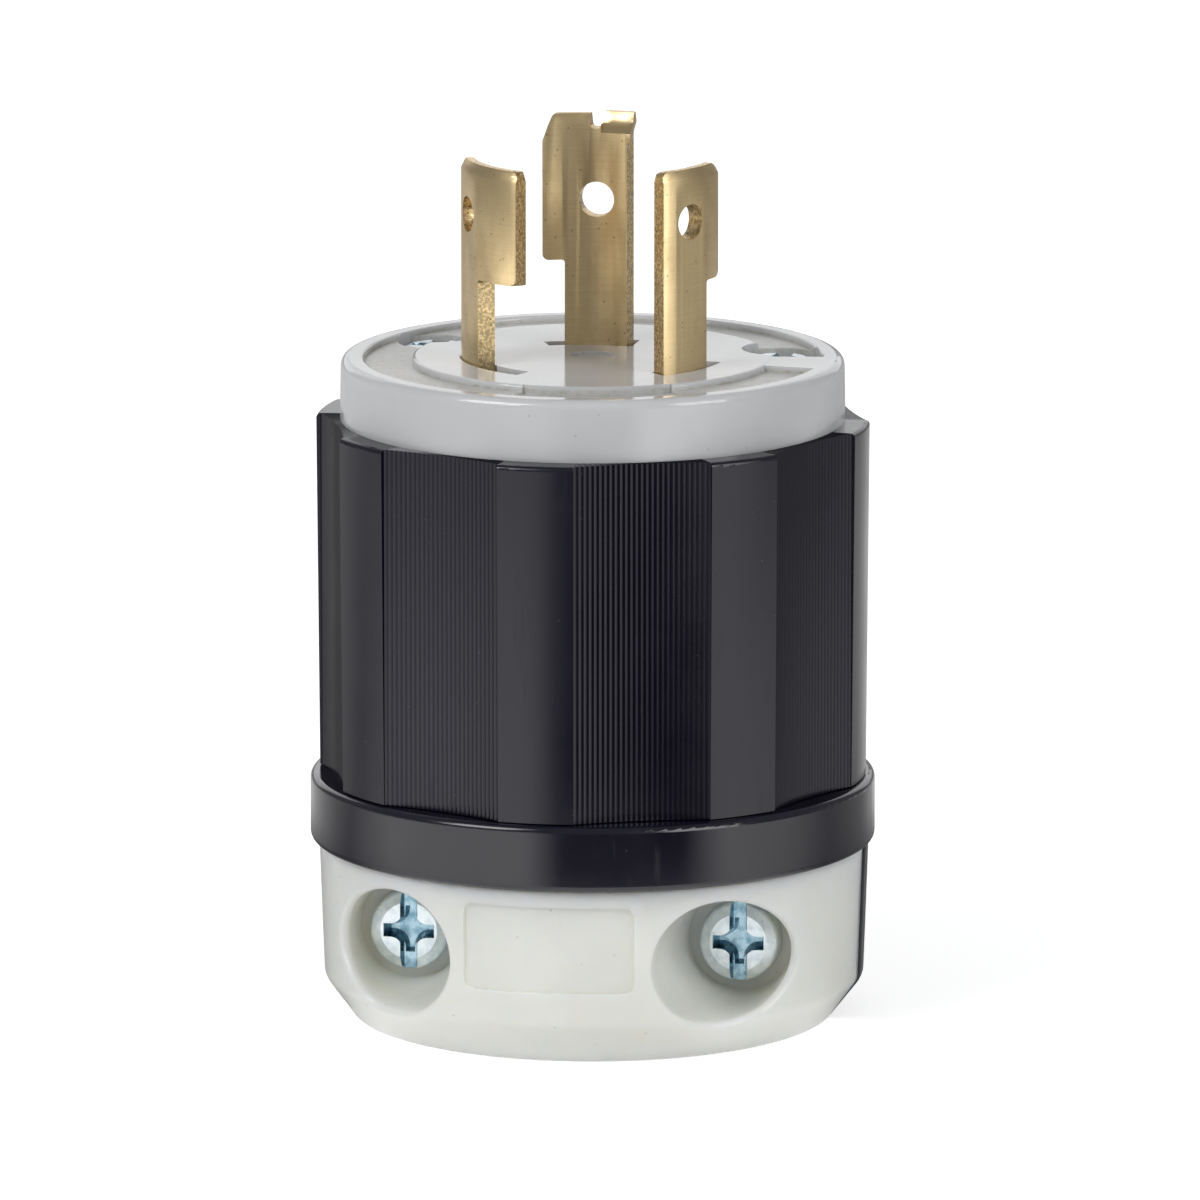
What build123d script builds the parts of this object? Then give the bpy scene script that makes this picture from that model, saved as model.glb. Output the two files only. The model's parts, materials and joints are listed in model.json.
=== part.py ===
from build123d import *
from math import asin, cos, degrees, radians, sin, tan
import os

# Three-wire locking plug, standing on its cord end, blades up.
# The origin is on the plug's axis at the cord end, and the clamp's screws point along -Y.

# Levels, from the cord end up
collar_height = 16.5
ring_height = 6.1
ring_seam = 0.1
sleeve_height = 32.8
cap_wall_height = 5.65
plateau_rise = 0.05

# The body, its blades and its sleeve sit turned by this much against the clamp
body_turn = -2.3

# Cord collar, one half moulded with the rear housing and one half loose
collar_foot_radius = 21.9
collar_foot_rise = 3.8
rear_collar_radius = 25.35
clamp_radius = 25.1
collar_draft = 0.45
collar_foot_round = 1.0
collar_heel_round = 1.5
split_gap = 0.2
clamp_seam = 0.1
cord_bore_radius = 10.0
cord_mouth_flare = 1.4
grip_rib_height = 1.2
grip_rib_foot = 1.4
grip_rib_crest = 0.6
grip_rib_levels = (4.4, 8.4, 12.4)

# Bare plate recess in the clamp's front
plate_width = 15.7
plate_height = 8.0
plate_level = 10.95
plate_depth = 0.3
plate_round = 1.0

# Ring, spigot and wiring chamber of the rear housing
ring_radius = 25.9
ring_round = 0.6
spigot_wall = 2.2
spigot_height = 7.4
throat_height = 3.0
funnel_height = 5.5

# Sleeve
lobe_count = 8
rib_radius = 25.35
rib_draft = 0.25
rib_half_angle = 8.0
panel_edge_drop = 0.35
panel_hollow = 1.6
sleeve_wall = 1.95
ridge_count = 26
ridge_depth = 0.17
sleeve_edge_round = 0.45
sleeve_fit = 0.2

# Front cap
cap_flange = 1.5
cap_draft = 0.1
cap_plate = 4.4
rim_land = 2.05
rim_round = 0.8
groove_depth = 0.55
groove_width = 4.55
plateau_round = 0.25
skirt_depth = 6.5
dimple_radius = 2.0
dimple_depth = 0.25
pad_start = -6.0
pad_end = 10.0
well_start = -101.0
well_end = -52.0
well_depth = 0.25

# Long screws that hold the cap, the terminal block and the rear housing together
column_angles = (23.0, 157.0)
column_radius = 3.9
column_inset = 0.2
assembly_head_radius = 3.3
head_pocket_clearance = 0.25
head_sink = 0.8
insert_radius = 2.8
insert_length = 8.0
assembly_screw_length = 20.5

# Screws, nuts and the clearances round them
shank_radius = 1.65
head_radius = 3.65
head_height = 2.4
head_dome = 0.4
head_flat_share = 0.72
slot_width = 1.6
slot_depth = 0.9
slot_taper = 15
cross_span = 4.7
cross_width = 1.25
cross_blend = 1.1
cross_depth = 1.9
cross_taper = 12
shank_clearance = 0.15
thread_clearance = 0.05
nut_across_flats = 8.7
nut_thickness = 3.2
nut_clearance = 0.15

# Clamp screws
clamp_screw_inset = 9.85
clamp_screw_level = 9.15
clamp_head_front = 10.7
clamp_pocket_radius = 4.85
clamp_pocket_flare = 4.5
clamp_pocket_round = 0.5
clamp_nut_seat = 9.0
clamp_screw_run_out = 1.2

# Terminal block
block_fit = 0.2
block_flange_height = 3.0
fin_thickness = 1.6
fin_height = 9.5
fin_reach = 12.4

# Blades: distances across are measured along the bend from each blade's own angle
blade_thickness = 1.6
slot_clearance = 0.2
line_outer_radius = 12.0
line_tip = 18.5
line_hook_level = 8.0
line_hole_level = 13.7
line_back = -3.25
line_stem = 2.4
hot_angle = -30.0
hot_hook = 4.86
neutral_angle = 210.0
neutral_hook = 7.12
ground_angle = 90.0
ground_seat = 5.25
ground_bend_radius = 12.6
ground_tip = 21.4
ground_hook_level = 7.9
ground_hole_level = 13.5
ground_hole_offset = 0.74
ground_back = -2.45
ground_stem = 3.6
ground_hook = 5.5
ground_chamfer = (0.8, 2.4)
ground_notch = (0.85, 1.05, 1.35)
ear_height = 2.6
ear_lean = 1.25
hole_radius = 1.625
tip_bevel = (0.45, 1.0)
tip_round = 1.0
shoulder_overhang = 1.0
shoulder_height = 4.6

# Terminals below the block
leg_width = 9.0
leg_reach = 13.0
terminal_drop = 6.5
terminal_length = 7.4
plate_gap = 2.4
pressure_plate_width = 8.6
pressure_plate_height = 9.0
pressure_plate_thickness = 2.0
groove_pitch = 1.6
groove_cut = 0.4

# Levels worked out from the sizes above
ring_top = collar_height + ring_height
sleeve_base = ring_top + ring_seam
sleeve_top = sleeve_base + sleeve_height
rim_top = sleeve_top + cap_wall_height
plateau_top = rim_top + plateau_rise
groove_floor = rim_top - groove_depth
cap_underside = rim_top - cap_plate
skirt_base = sleeve_top - skirt_depth
block_base = skirt_base - block_flange_height
shoulder_base = cap_underside - shoulder_height
head_seat = rim_top - head_sink - head_height
head_pocket_radius = assembly_head_radius + head_pocket_clearance
panel_middle_radius = rib_radius - panel_hollow
spigot_radius = panel_middle_radius - sleeve_wall - sleeve_fit
cap_radius = spigot_radius + cap_flange
plateau_radius = cap_radius - cap_draft - rim_land - groove_width
column_place = spigot_radius - column_radius - column_inset
clamp_screw_offset = clamp_radius - clamp_screw_inset
ear_edge = ground_notch[0] - ground_notch[1] / 2
leg_radius = line_outer_radius - blade_thickness
leg_base = block_base - leg_reach
chamber_radius = spigot_radius - spigot_wall
jog_level = shoulder_base - 2.0
far = 60.0


def polar(radius, angle, level=0.0):
    return Vector(radius * cos(radians(angle)), radius * sin(radians(angle)), level)


def turned(points, radii=0.0):
    # A ring or disc from its half section, given as radius and level pairs
    outline = FilletPolyline(*points, radius=radii, close=True)
    return revolve(make_face(Plane.XZ * outline), Axis.Z)


def tube(outer, inner, low, high):
    ring = Circle(outer) - Circle(inner)
    return extrude(Pos(0, 0, low) * ring, high - low)


def rod(radius, low, high):
    return extrude(Pos(0, 0, low) * Circle(radius), high - low)


def block(x0, x1, y0, y1, z0, z1):
    centre = Pos((x0 + x1) / 2, (y0 + y1) / 2, (z0 + z1) / 2)
    return centre * Box(x1 - x0, y1 - y0, z1 - z0)


def at(radius, angle):
    return Pos(*polar(radius, angle))


def on_columns(shape):
    return [at(column_place, angle) * shape for angle in column_angles]


def towards_viewer(x, y, z):
    # A frame whose Z runs along -Y, for what is screwed into the clamp
    return Plane(origin=(x, y, z), x_dir=(1, 0, 0), z_dir=(0, -1, 0)).location


# Screws, nuts and inserts stand on the origin with the head's seat at level 0
def slotted_screw(length, radius, dome=0.0):
    crown = head_height - head_dome
    head = turned(
        [(0, 0), (radius, 0), (radius, crown), (radius * head_flat_share, head_height), (0, head_height)],
        [0, 0, dome, 0, 0],
    )
    shank = turned(
        [(0, 0.1), (shank_radius, 0.1), (shank_radius, 0.6 - length), (shank_radius - 0.6, -length), (0, -length)]
    )
    slot = extrude(Pos(0, 0, head_height) * Rectangle(slot_width, 3 * radius), -slot_depth, taper=slot_taper)
    return head + shank - slot


def screw(length, radius=head_radius):
    # Slotted and crossed head of the screws that a driver reaches from outside
    arms = Rectangle(cross_span, cross_width) + Rectangle(cross_width, cross_span)
    arms = fillet(arms.vertices().sort_by(SortBy.DISTANCE)[:4], cross_blend)
    recess = extrude(Pos(0, 0, head_height) * arms, -cross_depth, taper=cross_taper)
    return slotted_screw(length, radius, head_dome) - recess


def threaded_insert():
    body = tube(insert_radius, shank_radius + thread_clearance, -insert_length, 0)
    groove = tube(insert_radius + 1, insert_radius - 0.35, -0.55 * insert_length, -0.4 * insert_length)
    return body - groove


def hex_nut():
    sides = RegularPolygon(nut_across_flats / 2, 6, major_radius=False)
    body = extrude(sides, nut_thickness)
    corner = nut_across_flats / 2 / cos(radians(30))
    dressed = turned(
        [
            (0, 0),
            (corner - 0.5, 0),
            (corner, 0.35),
            (corner, nut_thickness - 0.35),
            (corner - 0.5, nut_thickness),
            (0, nut_thickness),
        ]
    )
    return (body & dressed) - rod(shank_radius + thread_clearance, -1, nut_thickness + 1)


# Cord collar
def collar_blank(top_radius, top):
    teeth = []
    for level in reversed(grip_rib_levels):
        teeth.append((cord_bore_radius, level + grip_rib_foot))
        teeth.append((cord_bore_radius - grip_rib_height, level + grip_rib_crest))
        teeth.append((cord_bore_radius - grip_rib_height, level - grip_rib_crest))
        teeth.append((cord_bore_radius, level - grip_rib_foot))
    points = [
        (cord_bore_radius + cord_mouth_flare, 0),
        (collar_foot_radius, 0),
        (top_radius - collar_draft, collar_foot_rise),
        (top_radius, top),
        (cord_bore_radius, top),
        *teeth,
        (cord_bore_radius, cord_mouth_flare),
    ]
    rounds = [0, collar_foot_round, collar_heel_round] + [0] * (len(points) - 3)
    return turned(points, rounds)


def clamp_screw_places():
    return [-clamp_screw_offset, clamp_screw_offset]


def plate_recess():
    plate = RectangleRounded(plate_width, plate_height, plate_round)
    window = towards_viewer(0, 0, plate_level) * extrude(plate, far)
    return window - collar_core(clamp_radius - plate_depth)


def collar_core(top_radius):
    # Solid form of the collar's outside, without its bore
    points = [
        (0, 0),
        (collar_foot_radius, 0),
        (top_radius - collar_draft, collar_foot_rise),
        (top_radius, collar_height),
        (0, collar_height),
    ]
    return turned(points, [0, collar_foot_round, collar_heel_round, 0, 0])


def clamp_half():
    top = collar_height - clamp_seam
    half = collar_blank(clamp_radius, top) & block(-far, far, -far, -split_gap / 2, -1, far)
    seat = clamp_head_front - head_height
    depth = far - seat
    mouth = clamp_pocket_radius + depth * tan(radians(clamp_pocket_flare))
    pocket = Pos(0, 0, depth / 2) * Cone(clamp_pocket_radius, mouth, depth)
    hole = rod(shank_radius + shank_clearance, -far, 1)
    for x in clamp_screw_places():
        half -= towards_viewer(x, -seat, clamp_screw_level) * (pocket + hole)
    rims = [
        edge
        for edge in half.edges()
        if edge.geom_type not in (GeomType.LINE, GeomType.CIRCLE) and edge.center().Y < -seat - 2
    ]
    half = fillet(rims, clamp_pocket_round)
    return half - plate_recess()


# Rear housing: half collar, ring, spigot and the two screw columns in one moulding
def rear_housing():
    half = collar_blank(rear_collar_radius, collar_height) & block(-far, far, split_gap / 2, far, -1, far)
    throat = collar_height + throat_height
    funnel = throat + funnel_height
    ring = turned(
        [
            (cord_bore_radius, collar_height),
            (ring_radius, collar_height),
            (ring_radius, ring_top),
            (spigot_radius, ring_top),
            (spigot_radius, ring_top + spigot_height),
            (chamber_radius, ring_top + spigot_height),
            (chamber_radius, funnel),
            (cord_bore_radius, throat),
        ],
        [0, ring_round, ring_round, 0, 0, 0, 0, 0],
    )
    nut_pocket = extrude(
        RegularPolygon(nut_across_flats / 2 + nut_clearance, 6, major_radius=False), -far
    )
    hole = rod(shank_radius + shank_clearance, -far, far)
    for x in clamp_screw_places():
        half -= towards_viewer(x, clamp_nut_seat, clamp_screw_level) * (nut_pocket + hole)
    column = rod(column_radius, throat, block_base)
    bore = rod(insert_radius + thread_clearance, block_base - insert_length, block_base)
    run_out = rod(shank_radius + shank_clearance, block_base - insert_length - 4, block_base)
    housing = half + ring
    for solid in on_columns(column):
        housing += Rot(0, 0, body_turn) * solid
    for solid in on_columns(bore + run_out):
        housing -= Rot(0, 0, body_turn) * solid
    return housing


# Sleeve: eight plain ribs with a hollow, finely ridged panel between each pair
def lobed_outline():
    pitch = 360 / lobe_count
    blank_radius = rib_radius + 1
    edge_radius = rib_radius - panel_edge_drop
    edges = []
    for lobe in range(lobe_count):
        centre = -90 + lobe * pitch
        near, away = centre + rib_half_angle, centre + pitch - rib_half_angle
        rib = ThreePointArc(
            polar(blank_radius, centre - rib_half_angle), polar(blank_radius, centre), polar(blank_radius, near)
        )
        hollow = ThreePointArc(
            polar(edge_radius, near), polar(panel_middle_radius, centre + pitch / 2), polar(edge_radius, away)
        )
        crests = [hollow @ (step / ridge_count) for step in range(ridge_count + 1)]
        valleys = [hollow @ ((step + 0.5) / ridge_count) for step in range(ridge_count)]
        points = [crests[0]]
        for valley, crest in zip(valleys, crests[1:]):
            points.append(valley * (1 - ridge_depth / valley.length))
            points.append(crest)
        edges.append(rib)
        edges.append(Line(rib @ 1, points[0]))
        edges.append(Polyline(*points))
        edges.append(Line(points[-1], polar(blank_radius, away)))
    return make_face(edges)


def sleeve():
    lobes = extrude(Pos(0, 0, sleeve_base) * lobed_outline(), sleeve_height)
    envelope = turned(
        [
            (spigot_radius + sleeve_fit, sleeve_base),
            (rib_radius - rib_draft, sleeve_base),
            (rib_radius, sleeve_top),
            (spigot_radius + sleeve_fit, sleeve_top),
        ],
        [0, 0, sleeve_edge_round, 0],
    )
    return lobes & envelope


# Blades are made with their own angle along +X and their hook towards +Y
def strip(outer, seat, start, end, low, high, grow=0.0, bevel=(0.0, 0.0)):
    # A bent strip: start and end are distances across, taken on its outer face
    inner = outer - blade_thickness
    first, last = degrees(asin(start / outer)), degrees(asin(end / outer))
    points = [
        (inner - grow, low),
        (outer + grow, low),
        (outer + grow, high - bevel[1]),
        (outer + grow - bevel[0], high),
        (inner - grow + bevel[0], high),
        (inner - grow, high - bevel[1]),
    ]
    if not bevel[1]:
        points = [points[0], points[1], (outer + grow, high), (inner - grow, high)]
    section = make_face(Plane.XZ * Polyline(*points, close=True))
    bent = Rot(0, 0, first) * revolve(section, Axis.Z, last - first)
    return Pos(seat - inner, 0, 0) * bent


def through_blade(outline):
    # A flat outline of distance across and level, pushed through the blade
    return extrude(Plane.YZ * make_face(outline), far)


def blade_hole(across, level):
    return extrude(Plane.YZ * Pos(across, level) * Circle(hole_radius), far)


def leg():
    plate = block(leg_radius, line_outer_radius, -leg_width / 2, leg_width / 2, leg_base, shoulder_base + 2)
    upright = [edge for edge in plate.edges().filter_by(Axis.X) if edge.center().Z < leg_base + 1]
    plate = fillet(upright, 1.2)
    screw_hole = extrude(
        Plane.YZ * Pos(0, block_base - terminal_drop) * Circle(shank_radius + shank_clearance), far
    )
    return plate - screw_hole


def line_blade(hook):
    tip = plateau_top + line_tip
    step = plateau_top + line_hook_level
    outline = FilletPolyline(
        (line_back, shoulder_base),
        (line_stem, shoulder_base),
        (line_stem, step),
        (hook, step),
        (hook, tip),
        (line_back, tip),
        radius=[0, 0, 0.3, 0.7, tip_round, tip_round],
        close=True,
    )
    band = strip(line_outer_radius, leg_radius, line_back, hook, shoulder_base, tip, bevel=tip_bevel)
    blade = band & through_blade(outline)
    blade += line_shoulder(hook)
    blade += leg()
    return blade - blade_hole(0, plateau_top + line_hole_level)


def line_shoulder(hook, grow=0.0, top=cap_underside):
    return strip(
        line_outer_radius,
        leg_radius,
        line_back - shoulder_overhang - grow,
        hook + shoulder_overhang + grow,
        shoulder_base,
        top,
        grow,
    )


def ground_shoulder(grow=0.0, top=cap_underside):
    return strip(
        ground_bend_radius,
        ground_seat,
        ground_back - shoulder_overhang - grow,
        ground_hook + shoulder_overhang + grow,
        shoulder_base,
        top,
        grow,
    )


def ground_jog(grow=0.0, top=jog_level + blade_thickness):
    # The step that carries the ground blade out to its terminal leg
    return block(
        ground_seat - 0.6 - grow,
        line_outer_radius + grow,
        ground_back - grow,
        ground_stem + grow,
        jog_level,
        top,
    )


def ground_ear(low, high):
    # The ear beside the notch: the strip's section leans outwards from a third of the way up
    inner, outer = ground_bend_radius - blade_thickness, ground_bend_radius
    fold = low + (high - low) / 3
    section = Polyline(
        (inner, low),
        (outer, low),
        (outer, fold),
        (outer + ear_lean, high - tip_bevel[1]),
        (outer + ear_lean - tip_bevel[0], high),
        (inner + ear_lean + tip_bevel[0], high),
        (inner + ear_lean, high - tip_bevel[1]),
        (inner, fold),
        close=True,
    )
    first, last = degrees(asin(ground_back / inner)), degrees(asin(ear_edge / inner))
    bent = Rot(0, 0, first) * revolve(make_face(Plane.XZ * section), Axis.Z, last - first)
    return (Pos(ground_seat - inner, 0, 0) * bent) & block(-far, far, ground_back, ear_edge, low, high)


def ground_blade():
    tip = plateau_top + ground_tip
    step = plateau_top + ground_hook_level
    nick, nick_width, nick_depth = ground_notch
    outline = FilletPolyline(
        (ground_back - 1, jog_level - 1),
        (ground_stem, jog_level - 1),
        (ground_stem, step),
        (ground_hook, step),
        (ground_hook, tip - ground_chamfer[1]),
        (ground_hook - ground_chamfer[0], tip + 1e-3),
        (nick + nick_width / 2, tip + 1e-3),
        (nick + nick_width / 2, tip - nick_depth),
        (nick - nick_width / 2, tip - nick_depth),
        (nick - nick_width / 2, tip + 1),
        (ground_back - 1, tip + 1),
        radius=[0, 0, 0.3, 0.6, 0.4, 0.4, 0, 0.4, 0.4, 0, 0],
        close=True,
    )
    band = strip(
        ground_bend_radius, ground_seat, ground_back, ground_hook + 1, jog_level, tip, bevel=tip_bevel
    )
    blade = band & through_blade(outline)
    blade -= block(0, far, -far, ear_edge, tip - ear_height, far + tip)
    blade += ground_ear(tip - ear_height, tip)
    blade += ground_shoulder()
    blade += ground_jog()
    blade += leg() & block(0, far, -far, far, 0, jog_level + blade_thickness)
    return blade - blade_hole(ground_hole_offset, plateau_top + ground_hole_level)


def ear_slot(grow, low, high):
    reach = ground_seat + blade_thickness + ear_lean + grow
    return block(ground_seat, reach, ground_back - grow, ear_edge + grow, low, high)


def placed(shape, angle):
    return Rot(0, 0, angle + body_turn) * shape


# Slots that the hooked ends pass through
def cap_slots():
    low, high = cap_underside - 1, plateau_top + 1
    slots = []
    for angle, hook in ((hot_angle, hot_hook), (neutral_angle, neutral_hook)):
        slot = strip(
            line_outer_radius,
            leg_radius,
            line_back - slot_clearance,
            hook + slot_clearance,
            low,
            high,
            slot_clearance,
        )
        slots.append(Rot(0, 0, angle) * slot)
    bent = strip(
        ground_bend_radius,
        ground_seat,
        ground_back - slot_clearance,
        ground_hook + slot_clearance,
        low,
        high,
        slot_clearance,
    )
    slots.append(Rot(0, 0, ground_angle) * (bent + ear_slot(slot_clearance, low, high)))
    return slots


def sector(inner, outer, start, end, low, high):
    section = Polyline((inner, low), (outer, low), (outer, high), (inner, high), close=True)
    return Rot(0, 0, start) * revolve(make_face(Plane.XZ * section), Axis.Z, end - start)


def front_cap():
    rim_inner = cap_radius - cap_draft - rim_land
    skirt_inner = spigot_radius - spigot_wall + block_fit
    cap = turned(
        [
            (0, cap_underside),
            (skirt_inner, cap_underside),
            (skirt_inner, skirt_base),
            (spigot_radius, skirt_base),
            (spigot_radius, sleeve_top),
            (cap_radius, sleeve_top),
            (cap_radius - cap_draft, rim_top),
            (rim_inner, rim_top),
            (rim_inner - 0.1, groove_floor),
            (plateau_radius + 0.1, groove_floor),
            (plateau_radius, plateau_top),
            (0, plateau_top),
        ],
        [0, 0, 0, 0, 0, 0, rim_round, 0.3, 0, 0, plateau_round, 0],
    )
    boss = rod(column_radius, skirt_base, cap_underside)
    for solid in on_columns(boss):
        cap += solid
    overlap = 0.3
    cap += sector(plateau_radius - overlap, rim_inner + overlap, pad_start, pad_end, groove_floor - 0.2, rim_top)
    cap -= sector(
        plateau_radius - overlap, rim_inner - 0.45, well_start, well_end, groove_floor - well_depth, plateau_top + 1
    )
    for solid in on_columns(rod(head_pocket_radius, head_seat, far + head_seat)):
        cap -= solid
    for solid in on_columns(rod(shank_radius + shank_clearance, 0, head_seat + 1)):
        cap -= solid
    for slot in cap_slots():
        cap -= slot
    return cap - rod(dimple_radius, plateau_top - dimple_depth, far + plateau_top)


def terminal_block():
    core_radius = spigot_radius - spigot_wall
    core = rod(core_radius, block_base, cap_underside)
    flange = rod(spigot_radius - 0.1, block_base, skirt_base)
    body = core + chamfer(flange.edges().group_by(Axis.Z)[0], 0.4)
    for angle in (30, 150, 270):
        fin = block(0, fin_reach, -fin_thickness / 2, fin_thickness / 2, block_base - fin_height, block_base + 1)
        body += Rot(0, 0, angle) * fin
    for solid in on_columns(rod(column_radius + block_fit, skirt_base, far + skirt_base)):
        body -= solid
    for solid in on_columns(rod(shank_radius + shank_clearance, 0, far + skirt_base)):
        body -= solid
    gap = slot_clearance
    leg_slot = block(
        leg_radius - gap, line_outer_radius + gap, -leg_width / 2 - gap, leg_width / 2 + gap, block_base - 1, far + far
    )
    for angle, hook in ((hot_angle, hot_hook), (neutral_angle, neutral_hook)):
        body -= Rot(0, 0, angle) * (leg_slot + line_shoulder(hook, gap, far + far))
    ground = leg_slot + ground_jog(gap, far + far) + ground_shoulder(gap, far + far)
    return body - Rot(0, 0, ground_angle) * ground


# Terminals
def terminal_frame(radius):
    # A frame whose Z runs outwards, at a terminal's height
    return Plane(
        origin=(radius, 0, block_base - terminal_drop), x_dir=(0, 1, 0), z_dir=(1, 0, 0)
    ).location


def pressure_plate():
    outer = leg_radius - plate_gap
    plate = extrude(Rectangle(pressure_plate_width, pressure_plate_height), -pressure_plate_thickness)
    plate = chamfer(plate.edges().filter_by(Axis.Z), 0.8)
    for row in (-1, 1):
        for step in (0, 1):
            across = row * (pressure_plate_width / 2 - 1.0 - step * groove_pitch * 0.6)
            tooth = Polyline(
                (across - groove_cut, 0.01), (across, -groove_cut), (across + groove_cut, 0.01), close=True
            )
            plate -= extrude(Plane.XZ * make_face(tooth), far, both=True)
    plate -= rod(shank_radius + thread_clearance, -far, far)
    return terminal_frame(outer) * plate


def terminal_screw():
    return terminal_frame(line_outer_radius) * slotted_screw(terminal_length, head_radius)


def build():
    spin = Rot(0, 0, body_turn)
    parts = {
        "front_cap": spin * front_cap(),
        "terminal_block": spin * terminal_block(),
        "sleeve": spin * sleeve(),
        "rear_housing": rear_housing(),
        "clamp_half": clamp_half(),
        "blade_hot": placed(line_blade(hot_hook), hot_angle),
        "blade_neutral": placed(line_blade(neutral_hook), neutral_angle),
        "blade_ground": placed(ground_blade(), ground_angle),
    }
    terminals = (("hot", hot_angle), ("neutral", neutral_angle), ("ground", ground_angle))
    for name, angle in terminals:
        parts["pressure_plate_" + name] = placed(pressure_plate(), angle)
        parts["terminal_screw_" + name] = placed(terminal_screw(), angle)
    for side, angle in zip(("right", "left"), column_angles):
        column = Rot(0, 0, body_turn) * at(column_place, angle)
        parts["assembly_screw_" + side] = column * Pos(0, 0, head_seat) * screw(
            assembly_screw_length, assembly_head_radius
        )
        parts["threaded_insert_" + side] = column * Pos(0, 0, block_base) * threaded_insert()
    head_back = clamp_head_front - head_height
    grip = head_back + clamp_nut_seat + nut_thickness + clamp_screw_run_out
    for side, x in zip(("left", "right"), clamp_screw_places()):
        place = towards_viewer(x, -head_back, clamp_screw_level)
        parts["clamp_screw_" + side] = place * screw(grip)
        nut_place = towards_viewer(x, clamp_nut_seat + nut_thickness, clamp_screw_level)
        parts["clamp_nut_" + side] = nut_place * hex_nut()
    return parts


def main():
    os.makedirs("parts", exist_ok=True)
    for name, shape in build().items():
        export_step(shape, "parts/" + name + ".step")


if __name__ == "__main__":
    main()
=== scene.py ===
import json
import math

import bmesh
import bpy
from bpy.props import FloatProperty, FloatVectorProperty, IntProperty, PointerProperty
from bpy.types import Operator, Panel, PropertyGroup
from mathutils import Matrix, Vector


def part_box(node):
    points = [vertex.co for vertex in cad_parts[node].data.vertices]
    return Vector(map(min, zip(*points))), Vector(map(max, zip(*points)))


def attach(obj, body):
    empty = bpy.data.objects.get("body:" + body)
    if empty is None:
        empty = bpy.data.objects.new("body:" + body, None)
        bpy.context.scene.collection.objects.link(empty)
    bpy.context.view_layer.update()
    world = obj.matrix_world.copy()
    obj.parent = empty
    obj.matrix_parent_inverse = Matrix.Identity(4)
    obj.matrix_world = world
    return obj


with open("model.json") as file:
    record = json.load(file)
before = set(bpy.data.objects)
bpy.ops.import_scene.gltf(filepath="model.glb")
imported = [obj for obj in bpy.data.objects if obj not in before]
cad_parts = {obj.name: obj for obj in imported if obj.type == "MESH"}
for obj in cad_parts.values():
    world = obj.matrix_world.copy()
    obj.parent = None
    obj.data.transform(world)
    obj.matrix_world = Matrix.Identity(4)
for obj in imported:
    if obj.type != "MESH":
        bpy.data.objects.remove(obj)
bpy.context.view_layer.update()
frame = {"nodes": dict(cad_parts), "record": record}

bl_info = {
    "name": "Locking Plug",
    "version": (1, 1, 0),
    "blender": (4, 5, 0),
    "location": "3D View > Sidebar > Plug",
    "description": "Dresses a three-wire locking plug: nylon, ridged sleeve, brass blades, plated screws",
    "category": "Object",
}

MM = 0.001
# The face, the sleeve and the blades are turned by this against the clamp
BODY_TURN = math.radians(-2.3)
# The sleeve's eight lobes: the angle from one to the next, and half of the angle that a panel takes
LOBE_PITCH = math.radians(45)
PANEL_HALF = math.radians(14.5)
# How fast the hollow of a panel turns against the angle round the plug
HOLLOW_TURN = 1.95
# Ridges on a panel, and half the panel's width in millimetres
RIDGES = 26
PANEL_REACH = 6.26


# Shader maths


class Wire:
    """A shader socket that can be added, multiplied and compared in a Python expression."""

    def __init__(self, graph, socket):
        self.graph = graph
        self.socket = socket

    def _math(self, operation, *values):
        return self.graph.node("ShaderNodeMath", {"operation": operation}, dict(enumerate(values)))

    def __add__(self, other):
        return self._math("ADD", self, other)

    __radd__ = __add__

    def __sub__(self, other):
        return self._math("SUBTRACT", self, other)

    def __rsub__(self, other):
        return self._math("SUBTRACT", other, self)

    def __mul__(self, other):
        return self._math("MULTIPLY", self, other)

    __rmul__ = __mul__

    def __truediv__(self, other):
        return self._math("DIVIDE", self, other)

    def __mod__(self, other):
        return self._math("FLOORED_MODULO", self, other)

    def __pow__(self, other):
        return self._math("POWER", self, other)

    def __lt__(self, other):
        return self._math("LESS_THAN", self, other)

    def __abs__(self):
        return self._math("ABSOLUTE", self)

    def sine(self):
        return self._math("SINE", self)

    def cosine(self):
        return self._math("COSINE", self)

    def angle_over(self, other):
        """The angle whose tangent is this over the other, in the right quarter."""
        return self._math("ARCTAN2", self, other)

    def smooth(self, low, high):
        """0 below low, 1 above high and a smooth step between them."""
        return self.graph.node(
            "ShaderNodeMapRange",
            {"interpolation_type": "SMOOTHSTEP"},
            {"Value": self, "From Min": low, "From Max": high},
        )


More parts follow.
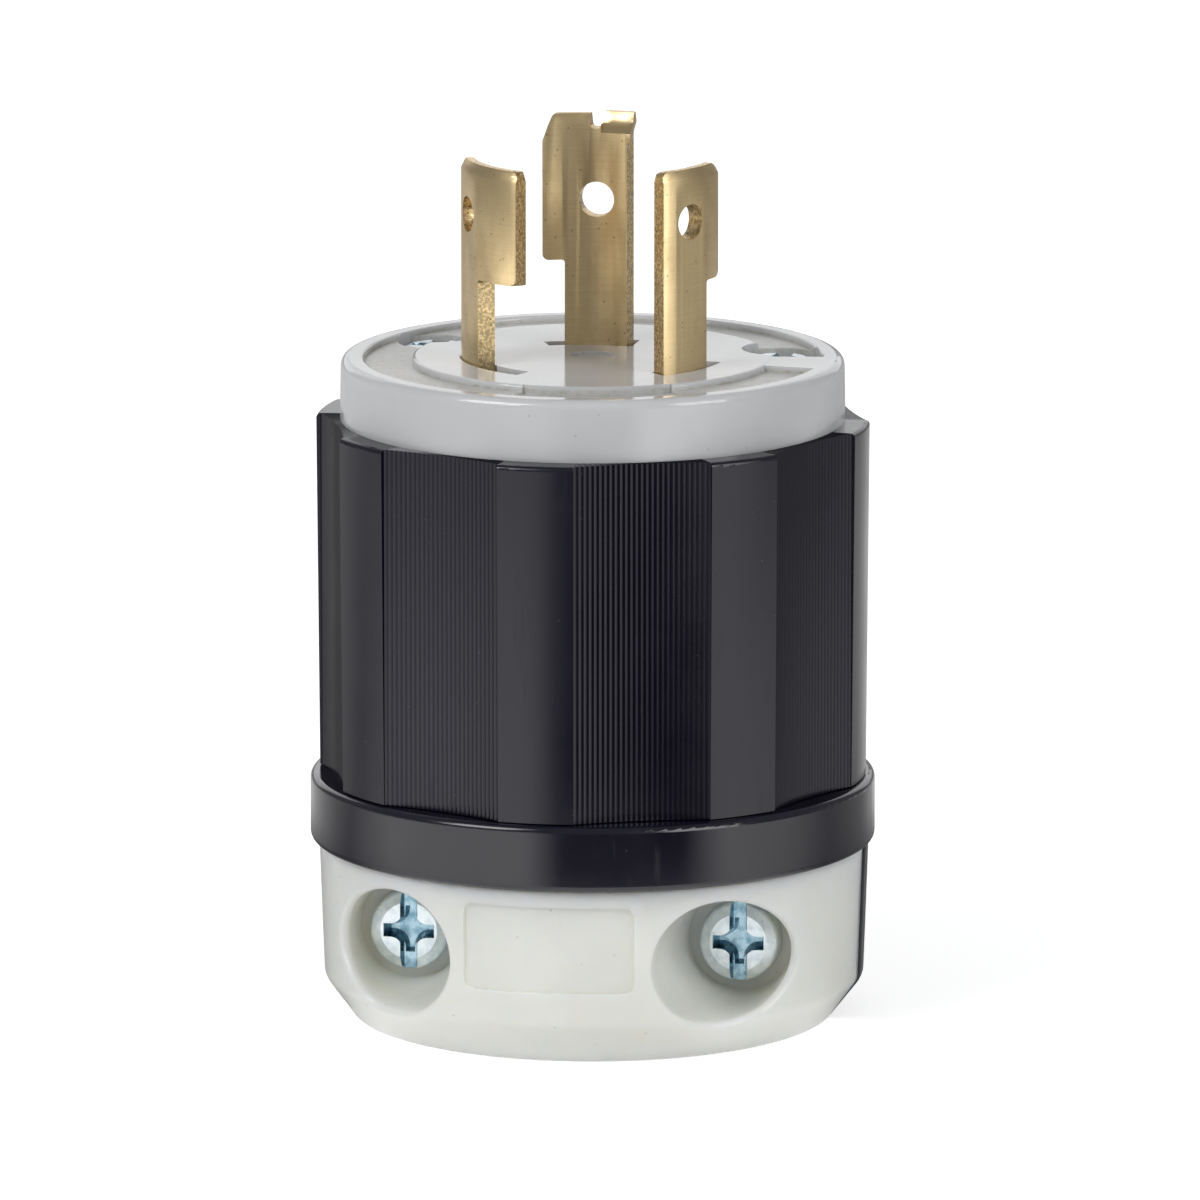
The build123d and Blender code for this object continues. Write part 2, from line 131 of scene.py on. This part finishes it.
class Graph:
    """The node tree of a material or the world, built one node at a time."""

    def __init__(self, owner):
        self.owner = owner
        owner.use_nodes = True
        self.tree = owner.node_tree
        self.tree.nodes.clear()

    def node(self, kind, settings=None, inputs=None, output=0):
        """Adds a node, sets it up, fills its sockets from values or wires and returns one output."""
        made = self.tree.nodes.new(kind)
        for key, value in (settings or {}).items():
            if key == "stops":
                self._set_stops(made.color_ramp, value)
            else:
                setattr(made, key, value)
        for key, value in (inputs or {}).items():
            if isinstance(value, Wire):
                self.tree.links.new(value.socket, made.inputs[key])
            else:
                made.inputs[key].default_value = value
        return Wire(self, made.outputs[output])

    @staticmethod
    def _set_stops(ramp, stops):
        while len(ramp.elements) < len(stops):
            ramp.elements.new(0.5)
        for element, (place, colour) in zip(ramp.elements, stops):
            element.position = place
            element.color = (*colour, 1.0)

    def place(self, scale=(1.0, 1.0, 1.0)):
        """The object's own coordinates in metres, stretched by scale."""
        coordinates = self.node("ShaderNodeTexCoord", output="Object")
        return self.node("ShaderNodeMapping", inputs={"Vector": coordinates, "Scale": scale})

    def axis(self, name):
        """One coordinate in millimetres."""
        coordinates = self.node("ShaderNodeTexCoord", output="Object")
        return self.node("ShaderNodeSeparateXYZ", inputs={"Vector": coordinates}, output=name) / MM

    def noise(self, size, detail=3.0, roughness=0.5, stretch=(1.0, 1.0, 1.0)):
        """Noise whose lumps are about size metres across."""
        where = self.place(tuple(1.0 / (size * each) for each in stretch))
        return self.node(
            "ShaderNodeTexNoise",
            inputs={"Vector": where, "Scale": 1.0, "Detail": detail, "Roughness": roughness},
        )

    def specks(self, apart, share):
        """1 inside small round specks, apart metres from each other and share of that wide, else 0."""
        where = self.place((1.0 / apart,) * 3)
        reach = self.node(
            "ShaderNodeTexVoronoi", inputs={"Vector": where, "Scale": 1.0, "Randomness": 1.0}
        )
        return 1.0 - reach.smooth(0.5 * share, share)

    def blend(self, factor, first, second):
        """Mixes two colours."""
        return self.node(
            "ShaderNodeMix", {"data_type": "RGBA"}, {0: factor, 6: first, 7: second}, output=2
        )

    def panel(self):
        """The angle round the plug, the angle from the nearest panel's middle, and 1 on a panel, else 0."""
        around = self.axis("Y").angle_over(self.axis("X"))
        from_first = around - (BODY_TURN + 0.5 * LOBE_PITCH)
        offset = (from_first + 0.5 * LOBE_PITCH) % LOBE_PITCH - 0.5 * LOBE_PITCH
        return around, offset, abs(offset) < PANEL_HALF

    def painted_groove_shade(self):
        """A mask for painted shade: 1 at the bottom of the grooves between a panel's ridges, 0 at their
        crests and off the panels.
        """
        x, y = self.axis("X"), self.axis("Y")
        _, offset, on_panel = self.panel()
        across = (x * x + y * y) ** 0.5 * offset.sine()
        wave = ((across + PANEL_REACH) * (math.pi * RIDGES / PANEL_REACH)).cosine()
        return (0.5 - wave * 0.5) * on_panel

    def hollowed(self, share):
        """The normal, turned by share towards that of the smooth hollow under a panel's ridges."""
        around, offset, on_panel = self.panel()
        facing = around - offset * HOLLOW_TURN
        smooth = self.node("ShaderNodeCombineXYZ", inputs={"X": facing.cosine(), "Y": facing.sine()})
        own = self.node("ShaderNodeTexCoord", output="Normal")
        mixed = self.node(
            "ShaderNodeMix", {"data_type": "VECTOR"}, {0: on_panel * share, 4: own, 5: smooth}, output=1
        )
        unit = self.node("ShaderNodeVectorMath", {"operation": "NORMALIZE"}, {0: mixed})
        return self.node(
            "ShaderNodeVectorTransform",
            {"vector_type": "NORMAL", "convert_from": "OBJECT", "convert_to": "WORLD"},
            {"Vector": unit},
        )

    def bump(self, height, strength, distance, normal=None):
        """A normal bent by a height, on top of another normal if one is given."""
        inputs = {"Height": height, "Strength": strength, "Distance": distance}
        if normal:
            inputs["Normal"] = normal
        return self.node("ShaderNodeBump", inputs=inputs)

    def surface(self, **inputs):
        """Ends the graph in a Principled BSDF; names use _ for the socket's spaces."""
        named = {key.replace("_", " "): value for key, value in inputs.items()}
        return self.finish(self.node("ShaderNodeBsdfPrincipled", inputs=named))

    def finish(self, shader, output="ShaderNodeOutputMaterial"):
        """Joins a shader to the tree's output and returns the material or world."""
        out = self.tree.nodes.new(output)
        self.tree.links.new(shader.socket, out.inputs["Surface"])
        return self.owner


def rgba(colour, share=1.0):
    return (*(share * each for each in colour), 1.0)


# Finishes


# Darker, greyer tone that the cap's groove is mixed towards
GROOVE_TONE = (0.44, 0.43, 0.38)
# Torn brass is brighter than the rolled face by this, partly fresh metal and partly a painted highlight
# along the blades' edges
TORN_GAIN_AND_GLINT = 1.2
# Painted shade at the bottoms of the sleeve's ridge grooves: how far they turn to black metal, which
# reflects next to nothing, so their sheen darkens
GROOVE_SHADE = 0.5


def nylon(name, colour, roughness, glow, depth, groove_darkening=None):
    """Milky moulded nylon lit from inside; the optional level and reach mark the groove, below and within
    which the colour is darker and mottled and the surface rougher.
    """
    graph = Graph(bpy.data.materials.new(name))
    drift = graph.noise(size=9 * MM, detail=2.0)
    skin = graph.noise(size=0.35 * MM, detail=4.0)
    waves = graph.noise(size=4 * MM, detail=1.0)
    base = graph.blend(drift.smooth(0.35, 0.7), rgba(colour), rgba(colour, 0.95))
    base = graph.blend(graph.specks(apart=2.3 * MM, share=0.07) * 0.5, base, rgba(colour, 0.62))
    rough = roughness + (skin - 0.5) * 0.12
    if groove_darkening:
        # Inside the cap's groove the colour is mixed towards a darker, mottled tone and the surface is made
        # rougher
        level, reach = (value / MM for value in groove_darkening)
        x, y = graph.axis("X"), graph.axis("Y")
        inside = (graph.axis("Z") < level) * ((x * x + y * y) < reach * reach)
        groove_mottle = graph.noise(size=0.7 * MM, detail=4.0, roughness=0.65)
        base = graph.blend(inside * (0.3 + groove_mottle.smooth(0.45, 0.65) * 0.6), base, rgba(GROOVE_TONE))
        rough = rough + inside * 0.25
    grain = graph.bump(skin, strength=0.25, distance=0.01 * MM)
    return graph.surface(
        Base_Color=base,
        Roughness=rough,
        Normal=graph.bump(waves, strength=0.25, distance=0.04 * MM, normal=grain),
        IOR=1.53,
        Subsurface_Weight=glow,
        Subsurface_Radius=depth,
        Subsurface_Scale=1.0,
    )


def black_nylon(name, colour, roughness, grain, haze=0.02, panels=0.0, ior=1.55):
    """Black moulding with a pale haze, fine grain and scuffs along the axis; panels smooths the ridges and
    paints shade into their grooves.
    """
    graph = Graph(bpy.data.materials.new(name))
    skin = graph.noise(size=0.22 * MM, detail=5.0, roughness=0.6)
    cloud = graph.noise(size=7 * MM, detail=3.0)
    scuffs = graph.noise(size=0.8 * MM, detail=2.0, stretch=(1.0, 1.0, 9.0))
    hazed = tuple(each + haze for each in colour)
    speck = tuple(each + 0.06 for each in colour)
    base = graph.blend(cloud.smooth(0.4, 0.75) * 0.5, rgba(colour), rgba(hazed))
    base = graph.blend(graph.specks(apart=1.7 * MM, share=0.05), base, rgba(speck))
    rough = roughness + (cloud - 0.5) * 0.12 + scuffs.smooth(0.62, 0.8) * 0.08
    own = graph.hollowed(panels) if panels else None
    return graph.surface(
        Base_Color=base,
        # Painted shade: the bottoms of the panels' grooves turn partly metallic, which darkens their
        # reflections
        Metallic=graph.painted_groove_shade() * GROOVE_SHADE if panels else 0.0,
        Roughness=rough,
        Normal=graph.bump(skin, strength=grain, distance=0.015 * MM, normal=own),
        IOR=ior,
    )


def rolled_brass(name, colour, tarnish, roughness=0.34):
    """Rolled brass strip: faint crosswise lines, a little uneven tarnish and fine pits."""
    graph = Graph(bpy.data.materials.new(name))
    lines = graph.noise(size=0.07 * MM, detail=3.0, roughness=0.6, stretch=(50.0, 50.0, 1.0))
    fine = graph.noise(size=0.1 * MM, detail=4.0, roughness=0.6)
    stain = graph.noise(size=2.4 * MM, detail=3.0, stretch=(1.0, 1.0, 1.8))
    pits = graph.specks(apart=0.9 * MM, share=0.13)
    base = graph.blend(stain.smooth(0.4, 0.75) * 0.5, rgba(colour), rgba(tarnish))
    base = graph.blend(lines.smooth(0.4, 0.7) * 0.22, base, rgba(tarnish, 0.8))
    base = graph.blend(fine.smooth(0.52, 0.78) * 0.25, base, rgba(tarnish, 0.6))
    base = graph.blend(pits * 0.6, base, rgba(tarnish, 0.3))
    rough = roughness + (lines - 0.5) * 0.18 + stain.smooth(0.4, 0.7) * 0.06
    grain = graph.bump(fine, strength=0.35, distance=0.008 * MM)
    normal = graph.bump(lines, strength=0.3, distance=0.01 * MM, normal=grain)
    return graph.surface(Base_Color=base, Metallic=1.0, Roughness=rough, Normal=normal)


def sheared_brass(name, colour, tarnish):
    """The torn edge of stamped brass: bright flecks, partly a painted highlight, between dull ones and
    coarse drag marks.
    """
    graph = Graph(bpy.data.materials.new(name))
    drag = graph.noise(size=0.14 * MM, detail=3.0, roughness=0.7, stretch=(1.0, 1.0, 3.0))
    flecks = graph.noise(size=0.28 * MM, detail=3.0, roughness=0.7)
    # Partly a painted highlight: the torn edges' bright flecks are lifted above the clean brass colour
    bright = tuple(min(1.0, TORN_GAIN_AND_GLINT * each) for each in colour)
    base = graph.blend(flecks.smooth(0.40, 0.66), rgba(tarnish, 0.85), rgba(bright))
    base = graph.blend(graph.specks(apart=0.7 * MM, share=0.2) * 0.7, base, rgba(tarnish, 0.25))
    rough = 0.36 + (drag - 0.5) * 0.3
    tears = graph.bump(flecks, strength=0.4, distance=0.02 * MM)
    normal = graph.bump(drag, strength=0.5, distance=0.02 * MM, normal=tears)
    return graph.surface(Base_Color=base, Metallic=1.0, Roughness=rough, Normal=normal)


def plating(name, colour, tint, roughness, pitting=0.4):
    """A plated metal: cloudy colour between two tones, crystal specks and a soft sheen."""
    graph = Graph(bpy.data.materials.new(name))
    cloud = graph.noise(size=0.9 * MM, detail=3.0)
    grit = graph.noise(size=0.13 * MM, detail=3.0, roughness=0.65)
    base = graph.blend(cloud.smooth(0.35, 0.7), rgba(colour), rgba(tint))
    base = graph.blend(grit.smooth(0.58, 0.72) * 0.45, base, rgba(tint, 0.55))
    base = graph.blend(graph.specks(apart=0.8 * MM, share=0.1) * 0.7, base, rgba(tint, 0.3))
    rough = roughness + (cloud - 0.5) * 0.2 + (grit - 0.5) * 0.2
    normal = graph.bump(grit, strength=pitting, distance=0.02 * MM)
    return graph.surface(Base_Color=base, Metallic=1.0, Roughness=rough, Normal=normal)


# Every finish by its material slot, or by its own name where a piece has a second one
FINISHES = {}

# The cap's annular groove lies this far below its top, and this far inside its rim
GROOVE_TOP = 0.35 * MM
GROOVE_INSET = 2.1 * MM


def make_finishes(settings):
    """Makes every finish once, from the colours in the panel."""
    brass, tarnish, zinc = settings.brass_colour, settings.tarnish_colour, settings.zinc_colour
    black = settings.black_colour
    cap_side, _, cap_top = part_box("front_cap")[1]
    FINISHES.update(
        white_nylon=nylon(
            "face_nylon",
            settings.face_colour,
            roughness=0.1,
            glow=0.4,
            depth=(1.3 * MM, 1.3 * MM, 1.3 * MM),
            groove_darkening=(cap_top - GROOVE_TOP, cap_side - GROOVE_INSET),
        ),
        white_clamp=nylon(
            "clamp_nylon",
            settings.clamp_colour,
            roughness=0.22,
            glow=0.85,
            depth=(5.0 * MM, 4.4 * MM, 3.4 * MM),
        ),
        black_sleeve=black_nylon(
            "sleeve_nylon", black, roughness=0.22, grain=0.25, haze=0.004, panels=0.66, ior=1.48
        ),
        black_housing=black_nylon("housing_nylon", black, roughness=0.16, grain=0.12, haze=0.002),
        terminal_block=black_nylon("block_thermoset", (0.05, 0.045, 0.045), roughness=0.5, grain=0.5),
        brass_blade=rolled_brass("blade_brass", brass, tarnish),
        sheared=sheared_brass("sheared_brass", brass, tarnish),
        brass=rolled_brass("turned_brass", brass, tarnish, roughness=0.28),
        plated_steel=plating("zinc_plate", zinc, (0.72, 0.81, 0.86), roughness=0.46),
        # Painted shade: the slot and cross recess get a darker, bluer copy of the zinc plating, for the
        # shade inside them
        recess=plating("recess_shade_plate", (0.36, 0.50, 0.58), (0.16, 0.30, 0.38), roughness=0.26),
        nickel=plating("nickel_plate", (0.66, 0.63, 0.58), (0.58, 0.55, 0.50), roughness=0.28, pitting=0.2),
        green_screw=plating(
            "green_plate", (0.06, 0.30, 0.13), (0.04, 0.22, 0.10), roughness=0.35, pitting=0.2
        ),
    )


def slot_of(node):
    """The record's material slot of a CAD piece."""
    return next(part["material_slot"] for part in frame["record"]["subparts"] if part["node"] == node)


def dress(node, second=None, chosen=None):
    """Gives a CAD piece the finish of its slot, and a second finish to the faces that are chosen."""
    mesh = frame["nodes"][node].data
    mesh.materials.clear()
    mesh.materials.append(FINISHES[slot_of(node)])
    if second:
        mesh.materials.append(FINISHES[second])
    for face in mesh.polygons:
        face.material_index = 1 if second and chosen(face) else 0


def soften(node, width):
    """Rounds the sharp edges of a CAD piece by a small width, without touching its own mesh."""
    piece = frame["nodes"][node]
    weld = piece.modifiers.new("weld", "WELD")
    weld.merge_threshold = 0.0005 * MM
    bevel = piece.modifiers.new("soft_edges", "BEVEL")
    bevel.limit_method = "ANGLE"
    bevel.angle_limit = math.radians(50)
    bevel.width = width
    bevel.segments = 3
    bevel.use_clamp_overlap = True
    bevel.harden_normals = True


# Settings


def colour_setting(name, description, default):
    return FloatVectorProperty(
        name=name, description=description, subtype="COLOR", default=default, min=0, max=1
    )


def length_setting(name, description, default, least=0.0):
    return FloatProperty(name=name, description=description, unit="LENGTH", default=default, min=least)


def angle_setting(name, description, degrees):
    return FloatProperty(
        name=name, description=description, unit="ROTATION", default=math.radians(degrees)
    )


class PlugSettings(PropertyGroup):
    """Colours and sizes that a user would change."""

    face_colour: colour_setting("Face", "Colour of the nylon face", (0.585, 0.59, 0.60))
    clamp_colour: colour_setting("Clamp", "Colour of the nylon clamp", (0.84, 0.845, 0.795))
    black_colour: colour_setting("Black nylon", "Colour of the sleeve and ring", (0.0042, 0.0036, 0.0115))
    brass_colour: colour_setting("Brass", "Colour of clean brass", (0.80, 0.62, 0.345))
    tarnish_colour: colour_setting("Tarnish", "Colour of dulled brass", (0.56, 0.42, 0.22))
    zinc_colour: colour_setting("Zinc", "Colour of the zinc plating", (0.88, 0.95, 0.98))
    floor_colour: colour_setting("Floor", "Colour of the floor", (0.9, 0.9, 0.9))
    blade_edge: length_setting("Blade edge", "Round along the edges of the blades", 0.3 * MM)
    clamp_edge: length_setting("Clamp edge", "Round along the edges of the clamp", 0.25 * MM)
    thread_pitch: length_setting("Thread pitch", "Pitch of the clamp screws' thread", 0.79 * MM, 0.1 * MM)
    thread_radius: length_setting("Thread radius", "Crest of the clamp screws' thread", 2.05 * MM, 0.1 * MM)
    thread_steps: IntProperty(
        name="Thread steps", description="Sides of one turn of the thread", default=40, min=8
    )
    camera_distance: length_setting("Camera distance", "From the lens to the plug's axis", 1.37, 0.2)
    camera_turn: angle_setting("Camera turn", "Angle round the plug from the clamp's front", 9.6)
    camera_rise: angle_setting("Camera rise", "Angle above the horizon", 11.3)


# Operators


# Each lamp: turn from the camera (right positive) and rise in degrees, distance, width and height, and watts
LAMPS = {
    "lamp_left": (-50, 35, 0.9, 0.45, 0.45, 4.2),
    "lamp_right": (54, 24, 0.9, 0.45, 0.55, 2.9),
    "lamp_behind": (180, 22, 1.0, 1.3, 0.6, 2.3),
}
# Height on the plug's axis that the lamps point at
LAMP_AIM = 45 * MM
# Strength and colour of the world's light
WORLD_LIGHT = 0.26
WORLD_COLOUR = (0.95, 0.97, 1.0, 1.0)
WHITE = (1.0, 1.0, 1.0, 1.0)
# The floor's own light on matt pieces, and what it adds where the camera sees it
FLOOR_BOUNCE = 0.02
FLOOR_WHITE = 0.6
FLOOR_HALF = 4.0
# How bright the floor looks to polished pieces: each zone's start in millimetres from the plug's axis, and
# its levels by the turn from the main camera's place in degrees, right positive
MIRROR = (
    (0, ((-180, 0.2), (-90, 0.2), (-60, 1.5), (60, 1.4), (90, 0.2), (180, 0.2))),
    (80, (
        (-160, 0.85), (-125, 0.65), (-105, 0.4), (-80, 1.7), (-24, 1.8), (-12, 0.02), (34, 0.02),
        (50, 1.7), (78, 1.2), (100, 0.4), (130, 0.4), (160, 0.9),
    )),
    (230, (
        (-160, 0.85), (-125, 0.7), (-100, 0.65), (-80, 1.3), (-24, 1.1), (-12, 0.02), (34, 0.02),
        (50, 0.8), (78, 0.6), (100, 0.4), (130, 0.4), (160, 0.9),
    )),
    (285, (
        (-180, 0.6), (-100, 0.6), (-80, 0.6), (-22, 1.1), (-10, 0.08), (14, 0.08), (26, 2.1), (50, 1.9),
        (80, 0.4),
    )),
)
# Width in millimetres over which a zone takes over from the one before
MIRROR_BLEND = 25
# The photograph's frame: its width at the plug's axis, and the point that its middle shows
FRAME_WIDTH = 109.9 * MM
FRAME_HEIGHT = 38.38 * MM
FRAME_SIDE = 0.67 * MM
SENSOR_WIDTH = 36.0


class PLUG_OT_stage(Operator):
    """Make the floor, the lamps, the world and the camera"""

    bl_idname = "plug.stage"
    bl_label = "Stage"

    def execute(self, context):
        settings = context.scene.plug
        self.floor(context, settings)
        self.lamps(context, settings)
        self.sky(context)
        self.camera(context, settings)
        return {"FINISHED"}

    def floor(self, context, settings):
        mesh = bpy.data.meshes.new("floor")
        signs = ((-1, -1), (1, -1), (1, 1), (-1, 1))
        corners = [(FLOOR_HALF * x, FLOOR_HALF * y, 0) for x, y in signs]
        mesh.from_pydata(corners, [], [(0, 1, 2, 3)])
        floor = bpy.data.objects.new("floor", mesh)
        floor.rotation_euler.z = settings.camera_turn
        context.scene.collection.objects.link(floor)
        graph = Graph(bpy.data.materials.new("floor_white"))
        matt = graph.node("ShaderNodeBsdfDiffuse", inputs={"Color": rgba(settings.floor_colour)})

        def glowing(strength):
            light = graph.node("ShaderNodeEmission", inputs={"Color": WHITE, "Strength": strength})
            return graph.node("ShaderNodeAddShader", inputs={0: matt, 1: light})

        paths = "ShaderNodeLightPath"
        seen = graph.node(paths, output="Is Camera Ray") + graph.node(paths, output="Is Transmission Ray")
        plain = graph.node(
            "ShaderNodeMixShader", inputs={0: seen, 1: glowing(FLOOR_BOUNCE), 2: glowing(FLOOR_WHITE)}
        )
        mirror = graph.node("ShaderNodeEmission", inputs={"Color": self.mirrored(graph), "Strength": 1.0})
        glossy = graph.node(paths, output="Is Glossy Ray")
        both = graph.node("ShaderNodeMixShader", inputs={0: glossy, 1: plain, 2: mirror})
        mesh.materials.append(graph.finish(both))

    @staticmethod
    def mirrored(graph):
        """The floor as polished pieces see it: pale close to the plug, soft lights to its left and right."""
        x, y = graph.axis("X"), graph.axis("Y")
        turn = x.angle_over(0.0 - y) / math.tau + 0.5
        away = (x * x + y * y) ** 0.5
        seen = None
        for start, levels in MIRROR:
            stops = [(angle / 360 + 0.5, (level,) * 3) for angle, level in levels]
            zone = graph.node("ShaderNodeValToRGB", {"stops": stops}, {"Fac": turn})
            seen = graph.blend(away.smooth(start, start + MIRROR_BLEND), seen, zone) if seen else zone
        return seen

    def lamps(self, context, settings):
        aim = Vector((0, 0, LAMP_AIM))
        for name, (turn, rise, distance, width, height, power) in LAMPS.items():
            lamp = bpy.data.lights.new(name, "AREA")
            lamp.shape = "RECTANGLE"
            lamp.size, lamp.size_y = width, height
            lamp.energy = power
            holder = bpy.data.objects.new(name, lamp)
            side, up = settings.camera_turn + math.radians(turn - 90), math.radians(rise)
            way = Vector((math.cos(up) * math.cos(side), math.cos(up) * math.sin(side), math.sin(up)))
            holder.location = aim + distance * way
            holder.rotation_euler = (aim - holder.location).to_track_quat("-Z", "Y").to_euler()
            context.scene.collection.objects.link(holder)

    def sky(self, context):
        graph = Graph(bpy.data.worlds.new("studio"))
        background = "ShaderNodeBackground"
        plain = graph.node(background, inputs={"Color": WORLD_COLOUR, "Strength": WORLD_LIGHT})
        white = graph.node(background, inputs={"Color": WHITE, "Strength": 1.0})
        seen = graph.node("ShaderNodeLightPath", output="Is Camera Ray")
        both = graph.node("ShaderNodeMixShader", inputs={0: seen, 1: plain, 2: white})
        context.scene.world = graph.finish(both, "ShaderNodeOutputWorld")
        context.scene.view_settings.view_transform = "Standard"

    def camera(self, context, settings):
        turn, rise, distance = settings.camera_turn, settings.camera_rise, settings.camera_distance
        back = Vector((math.sin(turn) * math.cos(rise), -math.cos(turn) * math.cos(rise), math.sin(rise)))
        right = Vector((math.cos(turn), math.sin(turn), 0))
        target = Vector((0, 0, FRAME_HEIGHT)) + right * FRAME_SIDE
        data = bpy.data.cameras.new("camera")
        data.sensor_width = SENSOR_WIDTH
        data.lens = SENSOR_WIDTH * distance / FRAME_WIDTH
        data.clip_start, data.clip_end = 0.05, 20.0
        camera = bpy.data.objects.new("camera", data)
        camera.location = target + back * distance
        camera.rotation_euler = (-back).to_track_quat("-Z", "Y").to_euler()
        context.scene.collection.objects.link(camera)
        context.scene.camera = camera


class PLUG_OT_mouldings(Operator):
    """Dress the moulded pieces: face, clamp, sleeve, rear housing and terminal block"""

    bl_idname = "plug.mouldings"
    bl_label = "Mouldings"

    def execute(self, context):
        for node in ("front_cap", "clamp_half", "sleeve", "rear_housing", "terminal_block"):
            dress(node)
        soften("clamp_half", context.scene.plug.clamp_edge)
        return {"FINISHED"}


class PLUG_OT_blades(Operator):
    """Dress the three blades: rolled faces, torn edges and a small round along every edge"""

    bl_idname = "plug.blades"
    bl_label = "Blades"

    # Millimetres from the plug's axis to the axis that each blade is bent about, and the blade's own angle
    bends = {"blade_hot": (0.0, -30.0), "blade_neutral": (0.0, 210.0), "blade_ground": (-5.75, 90.0)}
    # A face is torn where less than this share of its normal points towards or away from the bend's axis
    along_bend = 0.5

    def execute(self, context):
        for node, (offset, angle) in self.bends.items():
            way = math.radians(angle) + BODY_TURN
            centre = Vector((math.cos(way), math.sin(way))) * offset * MM
            dress(node, "sheared", self.torn(centre))
            soften(node, context.scene.plug.blade_edge)
        return {"FINISHED"}

    def torn(self, centre):
        """Picks the faces that were sheared: those across the strip's thickness."""

        def chosen(face):
            out = (face.center.xy - centre).normalized()
            return abs(face.normal.xy.dot(out)) < self.along_bend

        return chosen


class PLUG_OT_hardware(Operator):
    """Dress the screws, nuts, inserts and pressure plates"""

    bl_idname = "plug.hardware"
    bl_label = "Screws and nuts"

    plain = ("terminal_screw", "clamp_nut", "threaded_insert", "pressure_plate")
    driven = ("clamp_screw", "assembly_screw")
    # The recess's faces: their least and greatest depth, and the share of the head's radius they keep within
    shallowest, deepest, spread = 0.1 * MM, 2.2 * MM, 0.92
    # Above this depth only faces that lean belong to it: those with less of their normal along the screw
    floor_depth, leaning = 0.6 * MM, 0.6

    def execute(self, context):
        for node in frame["nodes"]:
            if node.startswith(self.driven):
                dress(node, "recess", self.hollow(node))
            elif node.startswith(self.plain):
                dress(node)
        return {"FINISHED"}

    def hollow(self, node):
        """Picks the faces inside the slot and cross recess of a screw's head, which get a painted shade."""
        low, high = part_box(node)
        middle = (Vector(low) + Vector(high)) / 2
        axis = 1 if node.startswith("clamp") else 2
        top = low[1] if axis == 1 else high[2]
        reach = self.spread * (high[0] - low[0]) / 2

        def chosen(face):
            offset = face.center - middle
            offset[axis] = 0
            depth = abs(face.center[axis] - top)
            leans = abs(face.normal[axis]) < self.leaning
            within = self.shallowest < depth < self.deepest and offset.length < reach
            return within and (leans or depth > self.floor_depth)

        return chosen


class PLUG_OT_threads(Operator):
    """Cut the thread on the ends of the clamp screws, where they stand out of their nuts"""

    bl_idname = "plug.threads"
    bl_label = "Thread ends"

    # The screw's bare end, how far the thread stands out, and how far below its crest it is rooted
    bare_end, height, rooted = 0.15 * MM, 0.3 * MM, 0.42 * MM
    # Shares of the pitch: half of the crest's width, half of the root's width, and the start behind the nut
    half_crest, half_root, lead = 0.05, 0.24, 0.25
    # Shares of a turn over which the ridge rises and dies out
    rise, fall = 0.2, 0.35

    def execute(self, context):
        settings = context.scene.plug
        for side in ("left", "right"):
            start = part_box("clamp_nut_" + side)[1][1]
            low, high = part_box("clamp_screw_" + side)
            centre = Vector(((low[0] + high[0]) / 2, 0, (low[2] + high[2]) / 2))
            mesh = self.helix(settings, start, high[1] - self.bare_end, centre)
            piece = bpy.data.objects.new("thread_end_" + side, mesh)
            context.scene.collection.objects.link(piece)
            mesh.materials.append(FINISHES["plated_steel"])
            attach(piece, "root")
        return {"FINISHED"}

    def helix(self, settings, start, end, centre):
        """A ridge wound round a line along Y, from start to end, fading out at both ends."""
        pitch, crest, steps = settings.thread_pitch, settings.thread_radius, settings.thread_steps
        root, shank = crest - self.height, crest - self.rooted
        count = int(((end - start) / pitch - 2 * self.lead) * steps)
        ridge = bmesh.new()
        rings = []
        for step in range(count + 1):
            around = math.tau * step / steps
            along = start + pitch * (self.lead + step / steps)
            fade = min(1.0, step / (self.rise * steps), (count - step) / (self.fall * steps))
            top = root + (crest - root) * fade
            across, up = math.cos(around), math.sin(around)
            profile = (
                (shank, -self.half_root),
                (top, -self.half_crest),
                (top, self.half_crest),
                (shank, self.half_root),
            )
            rings.append([
                ridge.verts.new(centre + Vector((radius * across, along + shift * pitch, radius * up)))
                for radius, shift in profile
            ])
        for first, second in zip(rings, rings[1:]):
            for here in range(len(first)):
                after = (here + 1) % len(first)
                ridge.faces.new((first[here], first[after], second[after], second[here]))
        ridge.faces.new(rings[0])
        ridge.faces.new(reversed(rings[-1]))
        bmesh.ops.recalc_face_normals(ridge, faces=ridge.faces)
        mesh = bpy.data.meshes.new("thread_end")
        ridge.to_mesh(mesh)
        ridge.free()
        return mesh


class PLUG_PT_panel(Panel):
    """The plug's steps and settings"""

    bl_idname = "PLUG_PT_panel"
    bl_label = "Locking Plug"
    bl_space_type = "VIEW_3D"
    bl_region_type = "UI"
    bl_category = "Plug"

    def draw(self, context):
        for step in STEPS:
            self.layout.operator(step.bl_idname)
        for name in PlugSettings.__annotations__:
            self.layout.prop(context.scene.plug, name)


STEPS = (PLUG_OT_stage, PLUG_OT_mouldings, PLUG_OT_blades, PLUG_OT_hardware, PLUG_OT_threads)
CLASSES = (PlugSettings, *STEPS, PLUG_PT_panel)


def register():
    for each in CLASSES:
        bpy.utils.register_class(each)
    bpy.types.Scene.plug = PointerProperty(type=PlugSettings)


def unregister():
    del bpy.types.Scene.plug
    for each in reversed(CLASSES):
        bpy.utils.unregister_class(each)


def run_step(idname):
    group, name = idname.split(".")
    getattr(getattr(bpy.ops, group), name)()


def main():
    register()
    make_finishes(bpy.context.scene.plug)
    for step in STEPS:
        run_step(step.bl_idname)


if __name__ == "__main__":
    main()
